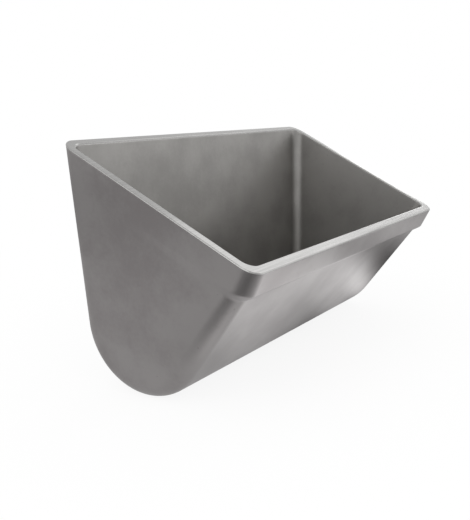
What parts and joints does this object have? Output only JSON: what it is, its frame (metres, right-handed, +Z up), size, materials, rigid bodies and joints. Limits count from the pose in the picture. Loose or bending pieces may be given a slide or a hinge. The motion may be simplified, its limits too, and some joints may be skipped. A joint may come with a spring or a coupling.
{
  "type": "conveyor elevator bucket",
  "caption": "Deep one-piece steel bucket with a sloping mouth, rounded bottom, leaning front wall and a raised band round the lip, for bolting by its flat back to an elevator belt.",
  "frame": {"origin": "centre of the flat back face, at mid-width and half-way up its flat part", "axes": "+X along the bucket's width, +Y out of the back face towards the belt, +Z up towards the mouth's back edge"},
  "size_m": [0.2292, 0.1108, 0.1308],
  "materials": {
    "cast_steel": "cast stainless steel with a fine satin blast finish, and a brighter ground rim"
  },
  "bodies": {
    "root": {"bucket": "cast_steel"}
  },
  "joints": []
}
